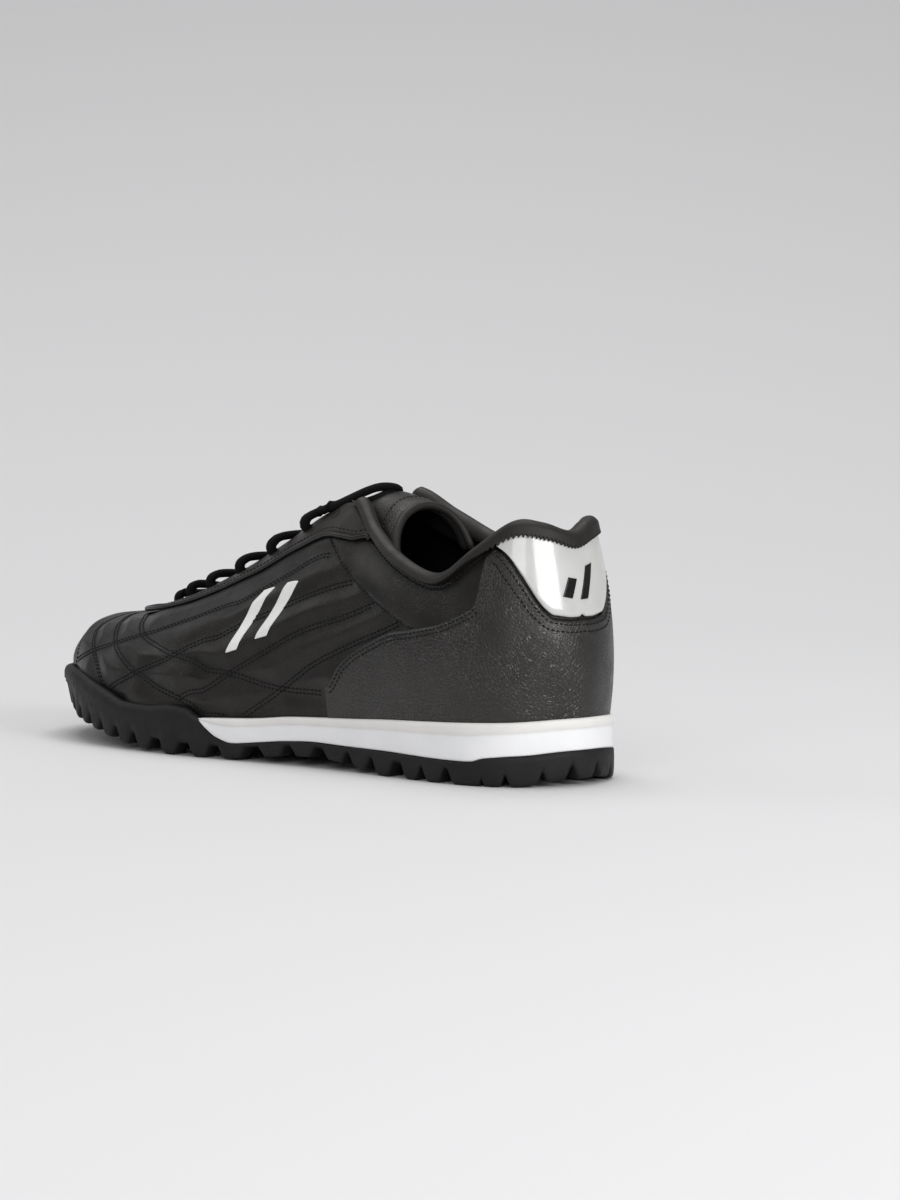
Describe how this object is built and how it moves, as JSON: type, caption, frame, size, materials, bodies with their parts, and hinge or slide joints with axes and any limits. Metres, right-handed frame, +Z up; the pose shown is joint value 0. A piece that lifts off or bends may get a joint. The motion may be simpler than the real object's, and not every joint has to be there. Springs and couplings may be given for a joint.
{
  "type": "turf shoe",
  "caption": "Low leather turf shoe for the left foot, with a studded rubber sole, a pale wedge midsole, flat laces and a padded collar.",
  "frame": {"origin": "on the floor, under the middle of the shoe's length and width", "axes": "+X towards the toe, +Y towards the outer side of this left shoe, +Z up"},
  "size_m": [0.282, 0.0994, 0.0995],
  "materials": {
    "outsole_rubber": "matte moulded black rubber",
    "midsole_foam": "satin white foam",
    "lining": "black textile",
    "upper_leather": "smooth black leather, soft sheen",
    "grained_leather": "pebbled black leather, soft sheen",
    "patent": "glossy white coated leather",
    "collar": "matte soft dark grey",
    "tongue_leather": "black leather with bound edge",
    "lace": "black woven lace"
  },
  "bodies": {
    "root": {"outsole": "outsole_rubber", "midsole": "midsole_foam", "insole": "lining", "upper": "upper_leather", "eyestay": "upper_leather", "heel_counter": "grained_leather", "heel_tab": "patent", "collar_roll": "collar", "tongue": "tongue_leather", "lace_bar": "lace", "lace_cross_1": "lace", "lace_cross_2": "lace", "lace_cross_3": "lace", "lace_cross_4": "lace", "lace_cross_5": "lace", "lace_cross_6": "lace"}
  },
  "joints": []
}
